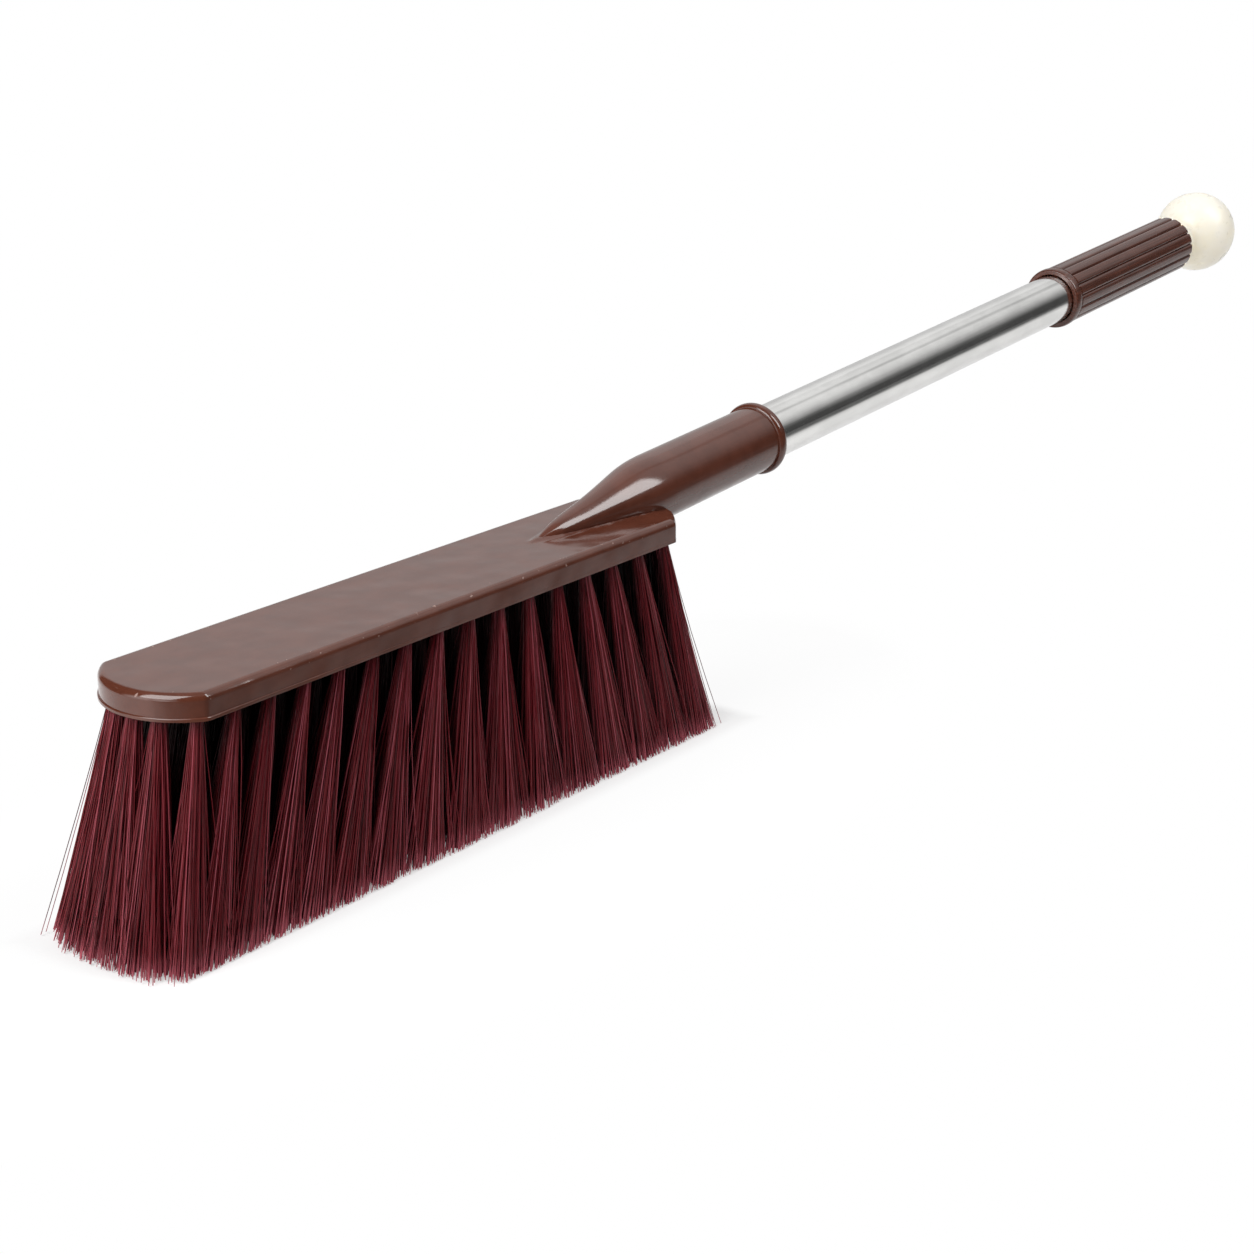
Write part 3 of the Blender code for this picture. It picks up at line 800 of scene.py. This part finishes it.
def filament_points(draw, tuft, root, tip, bend):
    """A filament's own line: it follows its tuft's middle, spreads to its tip and bends softly."""
    turn = draw.uniform(0, 2 * math.pi)
    size = draw.gauss(0, bend)
    ripple = draw.gauss(0, bend / RIPPLE_PART)
    foot, middle = tuft
    points = []
    for share in (i / FILAMENT_STEPS for i in range(FILAMENT_STEPS + 1)):
        spread = share * (EVEN_SPREAD + LATE_SPREAD * share)
        sway = size * math.sin(math.pi * share) + ripple * math.sin(2 * math.pi * share)
        place = foot.lerp(middle, share) + (root - foot).lerp(tip - middle, spread)
        z = root.z + (tip.z - root.z) * share
        points.append((place.x + sway * math.cos(turn), place.y + sway * math.sin(turn), z))
    return points


def add_filament(curve, points, radius):
    spline = curve.splines.new("POLY")
    spline.points.add(len(points) - 1)
    spline.points.foreach_set("co", [value for point in points for value in (*point, 1)])
    spline.points.foreach_set("radius", [radius] * (len(points) - 1) + [radius * TIP_SHARE])


def tip_in_tuft(centre, reach, turn, out):
    """A tip's place. The tips of a tuft fill a nearly square patch of the floor, inside the trim."""
    corner = max(abs(math.cos(turn)), abs(math.sin(turn))) ** PATCH_POWER
    tip = []
    for axis, part in enumerate((math.cos(turn), math.sin(turn))):
        low = TIPS_LOW[axis] + TRIM_MARGIN
        high = TIPS_HIGH[axis] - TRIM_MARGIN
        offset = min(max(out * corner * part, -MOST_SPREAD), MOST_SPREAD)
        room = high - centre[axis] if offset > 0 else centre[axis] - low
        tip.append(min(max(centre[axis] + offset * min(reach[axis], room), low), high))
    return Vector((*tip, 0))


def add_tuft(curve, draw, bristles, radius, foot, middle, reach):
    """One tuft: filaments packed in its hole, fanned out to fill their share of the trim."""
    for _ in range(bristles.filaments):
        turn = draw.uniform(0, 2 * math.pi)
        out = draw.random() ** 0.5
        stray = draw.random() < STRAY_SHARE
        root = foot + Vector((math.cos(turn), math.sin(turn), 0)) * radius * out
        spread = out * draw.gauss(1.0, SPREAD_CHANGE) * (draw.uniform(*STRAY_SPREAD) if stray else 1)
        tip = tip_in_tuft(middle, reach, turn + draw.gauss(0, TURN_CHANGE), spread)
        tip.z = TIP_LIFT + min(draw.expovariate(1 / bristles.ragged), MOST_RAGGED * bristles.ragged)
        thickness = draw.uniform(*THICKNESS) * (STRAY_THICKNESS if stray else 1)
        add_filament(curve, filament_points(draw, (foot, middle), root, tip, bristles.bend), thickness)


def depth_inside(tree, block, bristles):
    """How deep a place lies inside the bristles, from their outer face, which leans out to the tips. Deeper
    places get more painted shade.
    """
    parts = distances_from(tree, datum(block).x + block.side / 2)
    heights = {"Value": parts["Z"], "From Min": BLOCK_LOW.z, "From Max": 0.0}
    lean = add_node(tree, "MapRange", heights).outputs[0]
    end = block.side / 2 - tuft_places(block, bristles, 0)[0] + bristles.tuft
    side = block.width / 2 - bristles.row_edge + bristles.tuft
    end_face = math_node(tree, "MULTIPLY_ADD", lean, bristles.end_lean, end)
    side_face = math_node(tree, "MULTIPLY_ADD", lean, TIPS_HIGH.y - side, side)
    square = math_node(tree, "MULTIPLY", parts["Y"], parts["Y"])
    bow = math_node(tree, "MULTIPLY", square, 4 * block.bow / block.width**2)
    bowed = math_node(tree, "SUBTRACT", end_face, bow)
    from_end = math_node(tree, "SUBTRACT", bowed, parts["X"])
    return math_node(tree, "MINIMUM", from_end, math_node(tree, "SUBTRACT", side_face, parts["Y"]))


def filament_material(block, bristles, colours):
    """Fine plastic filaments: each has its own tone, with painted shade deep inside the brush and paler
    tips, which are partly the cut ends' own colour and partly painted light.
    """
    material, tree, shader = new_material("burgundy_filament")
    chance = add_node(tree, "NewGeometry").outputs["Random Per Island"]
    dark = tuple(colours.bristle_dark)
    tone = blend_colours(tree, map_range(tree, chance, *DARK_RAMP), dark, tuple(colours.bristle))
    tone = blend_colours(tree, map_range(tree, chance, *LIGHT_RAMP), tone, tuple(colours.bristle_light))
    # Painted shade: filaments deep inside the brush are blended towards near black, in place of the shade
    # between the tufts.
    inside = map_range(tree, depth_inside(tree, block, bristles), *PAINTED_SHADE_RAMP)
    tone = blend_colours(tree, inside, tone, tuple(0.15 * part for part in dark))
    height = add_node(tree, "SeparateXYZ", {0: object_coordinates(tree)}).outputs["Z"]
    # Partly painted light: the lowest few millimetres pale to the tip colour, partly the cut ends' own
    # colour and partly a painted lift of light.
    cut_end_and_light = map_range(tree, height, *CUT_END_AND_LIGHT_RAMP)
    tone = blend_colours(tree, cut_end_and_light, tone, tuple(colours.bristle_tip_and_light))
    streak = fine_noise(tree, object_coordinates(tree, (1, 1, 0.05)), 900.0, 1.0)
    dull = map_range(tree, streak, NOISE_LOW, NOISE_HIGH, 0.3, 0.5)
    feed(tree, shader, {"Base Color": tone, "Roughness": dull, "Specular IOR Level": 0.32})
    return material


def row_curve(row, bristles):
    """An empty curve whose strands have a filament's radius and closed ends."""
    curve = bpy.data.curves.new(f"bristle_filaments_{row}", "CURVE")
    curve.dimensions = "3D"
    curve.bevel_depth = bristles.radius
    curve.bevel_resolution = 0
    curve.use_fill_caps = True
    return curve


def make_row(row, y, block, bristles, material):
    """One row of tufts as a curve object with a strand for each filament."""
    draw = random.Random(row)
    curve = row_curve(row, bristles)
    start = datum(block).x
    tips = tip_places(block, bristles, y)
    outer = row in (1, bristles.rows)
    reach_share = OUTER_REACH_SHARE if outer else INNER_REACH_SHARE
    row_reach = (TIPS_HIGH.y - TIPS_LOW.y) / bristles.rows * ROW_REACH_SHARE
    tip_y = y * (1 + bristles.side_lean / (block.width / 2 - bristles.row_edge))
    for i, x in enumerate(tuft_places(block, bristles, y)):
        foot = Vector((start + x, y, BLOCK_LOW.z + block.hole_depth * ROOT_SHARE))
        middle = Vector((start + tips[i], tip_y, 0))
        radius = bristles.tuft if outer else bristles.inner_tuft * (1 if i else FRONT_TUFT_SHARE)
        near = tips[max(i - 1, 0):i + 2]
        reach = max((near[-1] - near[0]) / (len(near) - 1) * reach_share, LEAST_REACH)
        add_tuft(curve, draw, bristles, radius, foot, middle, (reach, row_reach))
    curve.materials.append(material)
    piece = new_object(curve.name, curve)
    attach(piece, BODY)
    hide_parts(f"bristle_row_{row}")


class BRUSH_OT_bristles(bpy.types.Operator):
    """Make the rows of tufts, filament by filament"""

    bl_idname = "brush.bristles"
    bl_label = "Bristles"

    def execute(self, context):
        scene = context.scene
        material = filament_material(scene.brush_block, scene.brush_bristles, scene.brush_colours)
        for row, y in enumerate(row_places(scene.brush_block, scene.brush_bristles), 1):
            make_row(row, y, scene.brush_block, scene.brush_bristles, material)
        return {"FINISHED"}


# Steel tube
def steel(colours):
    """Polished drawn steel, with fine lines along the tube and a soft haze."""
    material, tree, shader = new_material("polished_steel")
    lines = fine_noise(tree, handle_coordinates(tree, 80.0), 2600.0, 3.0, 0.6)
    haze = fine_noise(tree, handle_coordinates(tree, 2.5), 130.0, 3.0, 0.6)
    dull = tuple(0.88 * part for part in colours.steel)
    base = blend_colours(tree, map_range(tree, haze, NOISE_LOW, NOISE_HIGH), dull, tuple(colours.steel))
    clouded = map_range(tree, haze, NOISE_LOW, NOISE_HIGH, 0.07, 0.13)
    blur = math_node(tree, "ADD", map_range(tree, lines, NOISE_LOW, NOISE_HIGH, 0.0, 0.05), clouded)
    streaks = bump(tree, fine_noise(tree, handle_coordinates(tree, 60.0), 800.0, 2.0), 0.00002)
    surface = bump(tree, lines, 0.000008, streaks)
    feed(tree, shader, {"Base Color": base, "Metallic": 1.0, "Roughness": blur, "Normal": surface})
    return material


def make_tube(block, handle, colours):
    """A thin steel tube, open at both ends."""
    start = handle.sleeve_end - handle.socket + handle.tube_fit
    end = handle.sleeve_end + handle.tube_shown + handle.tube_in_grip
    outer = handle.tube_radius
    inner = outer - handle.tube_wall
    outside = [(outer, end + (start - end) * i / TUBE_STEPS) for i in range(TUBE_STEPS + 1)]
    piece = rings("steel_tube", [*outside, (inner, start), (inner, end)], axis_place(block), closed=True)
    finish_piece(piece, steel(colours), "polished_steel", "handle_tube")


class BRUSH_OT_tube(bpy.types.Operator):
    """Make the polished steel tube"""

    bl_idname = "brush.tube"
    bl_label = "Steel Tube"

    def execute(self, context):
        make_tube(context.scene.brush_block, context.scene.brush_handle, context.scene.brush_colours)
        return {"FINISHED"}


# Grip. Shares of a rib's pitch, closer where it falls to a groove, and of the mouth's depth.
RIB_TURN_SHARES = (0, 0.025, 0.06, 0.12, 0.2, 0.32, 0.5, 0.68, 0.8, 0.88, 0.94, 0.975)
MOUTH_SHARES = ((1.3, 0), (0.5, 0.5), (0, 1.4))
SEAM_SHARE = 0.35
END_FACE_SHARE = 2.4


def grip_end(handle, grip):
    """The station of the grip's end, where the ball's neck starts."""
    return handle.sleeve_end + handle.tube_shown + grip.length


def ribs_profile(grip, back, end):
    """The outside from the grip's end to the collar's back, with the ribs' rounded ends."""
    points = []
    for turn in (math.pi / 2 * (1 - i / END_STEPS) for i in range(END_STEPS + 1)):
        radius = grip.radius - grip.end_round * (1 - math.cos(turn))
        points.append((radius, end - grip.end_round * (1 - math.sin(turn)), 1))
    body = end - grip.end_round
    plain = body - back - grip.seam
    return points + [(grip.radius, body - plain * i / RIB_STEPS, 1) for i in range(1, RIB_STEPS + 1)]


def collar_profile(grip, start):
    """The collar's bead, from its back to its face."""
    points = []
    for turn in (math.pi * i / COLLAR_STEPS for i in range(COLLAR_STEPS + 1)):
        radius = grip.collar_radius + grip.collar_stand * math.sin(turn) ** COLLAR_POWER
        points.append((radius, start + grip.collar_width / 2 * (1 + math.cos(turn)), 0))
    return points


def grip_profile(handle, grip):
    """The grip as (radius, station, rib share) points, from its end round the outside to the bore."""
    end = grip_end(handle, grip)
    start = end - grip.length
    back = start + grip.collar_width
    bore = handle.tube_radius + handle.tube_fit
    points = [(grip.stem_bore, end, 0), (grip.radius - END_FACE_SHARE * grip.end_round, end, 1)]
    points += ribs_profile(grip, back, end)
    points.append((grip.collar_radius + grip.collar_step, back + grip.collar_step, SEAM_SHARE))
    points += collar_profile(grip, start)
    for stand, depth in MOUTH_SHARES:
        points.append((bore + grip.mouth * stand, start + grip.mouth * depth, 0))
    return points + [(bore, end - grip.end_wall, 0), (grip.stem_bore, end - grip.end_wall, 0)]


def make_grip(block, handle, grip, colours):
    """A ribbed sleeve with a collar at its mouth and an end wall that holds the ball."""
    profile = grip_profile(handle, grip)
    pitch = 2 * math.pi / grip.ribs
    first = math.pi + grip.turn
    turns = [first + pitch * (rib + share) for rib in range(grip.ribs) for share in RIB_TURN_SHARES]

    def ribbed(step, radius, turn):
        across = ((turn - first) / pitch) % 1 * 2 - 1
        return radius - profile[step][2] * grip.rib_depth * abs(across) ** RIB_POWER

    places = [(radius, station) for radius, station, _ in profile]
    piece = rings("ribbed_grip", places, axis_place(block), turns, ribbed, closed=True)
    material = moulded_plastic(
        "moulded_brown_grip", colours, wave_height=0.00006, level=1.0, grain_height=0.0001, dullness=0.15
    )
    finish_piece(piece, material, "grip_plastic", "grip")


class BRUSH_OT_grip(bpy.types.Operator):
    """Make the ribbed grip with its collar"""

    bl_idname = "brush.grip"
    bl_label = "Ribbed Grip"

    def execute(self, context):
        scene = context.scene
        make_grip(scene.brush_block, scene.brush_handle, scene.brush_grip, scene.brush_colours)
        return {"FINISHED"}


# Ball knob. The ball's arc stops this turn, in radians, before it would meet the neck.
NECK_OPEN = 0.08


def ivory(colours):
    """Smooth ivory plastic with a faint cloud in its colour and a fine skin."""
    material, tree, shader = new_material("ivory_plastic")
    place = object_coordinates(tree)
    cloud = map_range(tree, fine_noise(tree, place, 120.0, 3.0), NOISE_LOW, NOISE_HIGH)
    warmer = tuple(part * shade for part, shade in zip(colours.ivory, (1.0, 0.985, 0.94)))
    dull = map_range(tree, fine_noise(tree, place, 260.0, 3.0), NOISE_LOW, NOISE_HIGH, 0.26, 0.36)
    feed(tree, shader, {
        "Base Color": blend_colours(tree, cloud, warmer, tuple(colours.ivory)),
        "Roughness": dull,
        "Normal": bump(tree, fine_noise(tree, place, 160.0, 1.0), 0.00002),
        "Subsurface Weight": 1.0,
        "Subsurface Radius": (1.0, 0.95, 0.85),
        "Subsurface Scale": 0.03,
    })
    return material


def make_ball(block, handle, grip, ball, colours):
    """A ball on a neck, with the stem that plugs into the grip."""
    place = axis_place(block)
    centre = (place.inverted() @ BALL_CENTRE).z
    meet = NECK_OPEN - math.acos(ball.neck / BALL_RADIUS)
    points = arc(0, centre, BALL_RADIUS, math.pi / 2, meet, BALL_STEPS)
    points[0] = (0, points[0][1])
    neck_top = points[-1][1] - ball.neck_round
    end = grip_end(handle, grip)
    neck_end = end + handle.tube_fit
    stem_end = end - ball.stem_length
    points += [(ball.neck + ball.swell, neck_top + ball.swell_rise), (ball.neck, neck_top)]
    points += [(ball.neck, neck_end), (ball.stem, neck_end), (ball.stem, stem_end), (0, stem_end)]
    piece = rings("ivory_ball", points, place)
    finish_piece(piece, ivory(colours), "ivory_plastic", "ball_knob")


class BRUSH_OT_ball(bpy.types.Operator):
    """Make the ivory ball knob"""

    bl_idname = "brush.ball"
    bl_label = "Ball Knob"

    def execute(self, context):
        scene = context.scene
        grip, ball = scene.brush_grip, scene.brush_ball
        make_ball(scene.brush_block, scene.brush_handle, grip, ball, scene.brush_colours)
        return {"FINISHED"}


# Studio. Directions are an azimuth, from +Y towards +X, and an elevation, in degrees.
FLOOR_CORNERS = ((-1.6, -1.2), (1.8, -1.2), (1.8, 2.4), (-1.6, 2.4))
FLOOR_DROP = 0.0002
LAMP_TARGET = Vector((-0.1, 0, 0.08))
SHADOW_STRETCH = (1, 2.2, 1)
SHADOW_RAMP = (0.12, 0.24)
CONTACT_RAMP = (0.0, 0.008, 0.45, 0.9)
FAR_SIDE = (0.2, 1, 0)
GLOSS_RAMP = (-0.24, -0.07)
BACKDROP = (50, 0)
BACKDROP_EDGE = (0.72, 0.82)
BACKDROP_RAMP = (0.2, 0.65, 0.66, 1.02)
CLOTH = (92, 0)
CLOTH_EDGE = (0.15, 0.45)
CLOTH_RAMP = (0.15, 0.72, 0.07, 0.95)
CEILING_RAMP = (0.7, 0.98, 0.025, 0.4)
FRONT_CARD = (-82, 2)
FRONT_CARD_RAMP = (0.78, 0.95, 0.0, 2.6)
SEAM = (182, 0)
SEAM_RAMP = (0.02, 0.1, 0.68, 1.0)


def beside_footprint(tree, middle):
    """How far a place on the floor lies outside the rectangle that the bristles stand on."""
    half = (TIPS_HIGH - TIPS_LOW) / 2
    parts = distances_from(tree, middle.x)
    past_end = math_node(tree, "SUBTRACT", parts["X"], half.x)
    past_side = math_node(tree, "SUBTRACT", parts["Y"], half.y)
    return math_node(tree, "MAXIMUM", past_end, past_side)


def shown_floor(tree, colours):
    """What the camera sees: plain white, which gives way to a lit floor under and round the bristles."""
    plain = add_node(tree, "Emission", {"Color": (1, 1, 1, 1), "Strength": 1.0})
    lit = add_node(tree, "BsdfDiffuse", {"Color": (*colours.floor, 1)})
    middle = (TIPS_LOW + TIPS_HIGH) / 2
    inputs = {0: object_coordinates(tree, SHADOW_STRETCH), 1: (middle.x, 0, 0)}
    apart = add_node(tree, "VectorMath", inputs, operation="DISTANCE").outputs["Value"]
    contact = map_range(tree, beside_footprint(tree, middle), *CONTACT_RAMP)
    share = math_node(tree, "MAXIMUM", map_range(tree, apart, *SHADOW_RAMP), contact)
    return add_node(tree, "MixShader", {0: share, 1: lit.outputs[0], 2: plain.outputs[0]}).outputs[0]


def floor_material(colours):
    """White to the camera, but for the brush's faint shadow. In gloss it darkens towards the near side."""
    material, tree, shader = new_material("studio_floor")
    inputs = {0: object_coordinates(tree), 1: FAR_SIDE}
    farther = add_node(tree, "VectorMath", inputs, operation="DOT_PRODUCT").outputs["Value"]
    dark = tuple(0.1 * part for part in colours.floor)
    base = blend_colours(tree, map_range(tree, farther, *GLOSS_RAMP), dark, tuple(colours.floor))
    feed(tree, shader, {"Base Color": base, "Roughness": 0.9})
    seen = add_node(tree, "LightPath").outputs["Is Camera Ray"]
    inputs = {0: seen, 1: shader.outputs[0], 2: shown_floor(tree, colours)}
    mix = add_node(tree, "MixShader", inputs)
    feed(tree, tree.nodes["Material Output"], {"Surface": mix.outputs[0]})
    return material


def make_floor(colours):
    shape = bmesh.new()
    for x, y in FLOOR_CORNERS:
        shape.verts.new((x, y, 0))
    shape.faces.new(shape.verts)
    piece = place_mesh("studio_floor", shape, Matrix.Translation((0, 0, -FLOOR_DROP)))
    piece.data.materials.append(floor_material(colours))


def direction(azimuth, elevation):
    """A unit vector from angles in degrees."""
    turn, rise = math.radians(azimuth), math.radians(elevation)
    return Vector((math.sin(turn) * math.cos(rise), math.cos(turn) * math.cos(rise), math.sin(rise)))


def softbox(name, azimuth, elevation, distance, width, height, radiance):
    """A soft rectangular lamp that faces the brush. Its power follows from how bright its face is."""
    light = bpy.data.lights.new(name, "AREA")
    light.shape = "RECTANGLE"
    light.size = width
    light.size_y = height
    light.energy = radiance * math.pi * width * height
    lamp = new_object(name, light)
    away = direction(azimuth, elevation)
    lamp.location = LAMP_TARGET + away * distance
    lamp.rotation_euler = away.to_track_quat("Z", "Y").to_euler()


def make_lamps():
    softbox("right_softbox", azimuth=150, elevation=45.5, distance=2.6, width=0.75, height=1.8, radiance=8.0)
    softbox("left_softbox", azimuth=-88, elevation=42, distance=1.3, width=0.9, height=0.95, radiance=6.8)


def toward(tree, ray, azimuth, elevation):
    """The cosine between a ray and a direction."""
    inputs = {0: ray, 1: tuple(direction(azimuth, elevation))}
    return add_node(tree, "VectorMath", inputs, operation="DOT_PRODUCT").outputs["Value"]


def world_light(tree):
    """How bright each direction is to the brush: the brightest of four surfaces, with a seam between."""
    ray = add_node(tree, "TexCoord").outputs["Generated"]
    height = add_node(tree, "SeparateXYZ", {0: ray}).outputs["Z"]
    behind = map_range(tree, toward(tree, ray, *BACKDROP), *BACKDROP_EDGE)
    backdrop = math_node(tree, "MULTIPLY", behind, map_range(tree, height, *BACKDROP_RAMP))
    aside = map_range(tree, toward(tree, ray, *CLOTH), *CLOTH_EDGE)
    cloth = math_node(tree, "MULTIPLY", aside, map_range(tree, height, *CLOTH_RAMP))
    ceiling = map_range(tree, height, *CEILING_RAMP)
    front = map_range(tree, toward(tree, ray, *FRONT_CARD), *FRONT_CARD_RAMP)
    light = math_node(tree, "MAXIMUM", math_node(tree, "MAXIMUM", backdrop, cloth), ceiling)
    beside = math_node(tree, "ABSOLUTE", toward(tree, ray, *SEAM))
    seam = map_range(tree, beside, *SEAM_RAMP)
    return math_node(tree, "MULTIPLY", math_node(tree, "MAXIMUM", light, front), seam)


def make_world():
    """White to the camera. To the brush it is a backdrop behind, a cloth on the right and a front card."""
    world = bpy.data.worlds.new("studio_world")
    bpy.context.scene.world = world
    world.use_nodes = True
    tree = world.node_tree
    seen = add_node(tree, "LightPath").outputs["Is Camera Ray"]
    strength = math_node(tree, "MAXIMUM", world_light(tree), seen)
    feed(tree, tree.nodes["Background"], {"Strength": strength, "Color": (1, 1, 1, 1)})


def make_camera(block):
    """The photograph's view."""
    target = datum(block) + CAMERA_TARGET + Vector((0, 0, block_top(block)))
    back = Vector((
        math.sin(CAMERA_AZIMUTH) * math.cos(CAMERA_ELEVATION),
        -math.cos(CAMERA_AZIMUTH) * math.cos(CAMERA_ELEVATION),
        math.sin(CAMERA_ELEVATION),
    ))
    right = Vector((0, 0, 1)).cross(back).normalized()
    up = back.cross(right)
    turn = Matrix((right, up, back)).transposed() @ Matrix.Rotation(CAMERA_ROLL, 3, "Z")
    lens = bpy.data.cameras.new("photo_camera")
    lens.lens = CAMERA_LENS_MM
    lens.sensor_width = SENSOR_MM
    lens.sensor_height = SENSOR_MM
    lens.clip_end = CAMERA_REACH
    camera = new_object("photo_camera", lens)
    camera.matrix_world = Matrix.Translation(target + back * CAMERA_DISTANCE) @ turn.to_4x4()
    bpy.context.scene.camera = camera


class BRUSH_OT_studio(bpy.types.Operator):
    """Make the floor, the lamps, the world and the camera"""

    bl_idname = "brush.studio"
    bl_label = "Studio"

    def execute(self, context):
        scene = context.scene
        scene.view_settings.view_transform = "Standard"
        make_floor(scene.brush_colours)
        make_lamps()
        make_world()
        make_camera(scene.brush_block)
        return {"FINISHED"}


class BRUSH_PT_panel(bpy.types.Panel):
    """Lists the brush's sizes and the buttons that make its pieces"""

    bl_idname = "BRUSH_PT_panel"
    bl_label = "Carpet Brush"
    bl_space_type = "VIEW_3D"
    bl_region_type = "UI"
    bl_category = "Carpet Brush"

    def draw(self, context):
        for operator in OPERATORS:
            self.layout.operator(operator.bl_idname)
        for name, group in GROUPS.items():
            box = self.layout.box()
            box.label(text=group.__doc__)
            for key in group.__annotations__:
                box.prop(getattr(context.scene, name), key)


OPERATORS = (
    BRUSH_OT_block, BRUSH_OT_bristles, BRUSH_OT_tube, BRUSH_OT_grip, BRUSH_OT_ball, BRUSH_OT_studio
)
CLASSES = (*GROUPS.values(), *OPERATORS, BRUSH_PT_panel)


def register():
    for made in CLASSES:
        bpy.utils.register_class(made)
    for name, group in GROUPS.items():
        setattr(bpy.types.Scene, name, bpy.props.PointerProperty(type=group))


def unregister():
    for name in GROUPS:
        delattr(bpy.types.Scene, name)
    for made in reversed(CLASSES):
        bpy.utils.unregister_class(made)


def main():
    register()
    bpy.ops.brush.block()
    bpy.ops.brush.bristles()
    bpy.ops.brush.tube()
    bpy.ops.brush.grip()
    bpy.ops.brush.ball()
    bpy.ops.brush.studio()


if __name__ == "__main__":
    main()
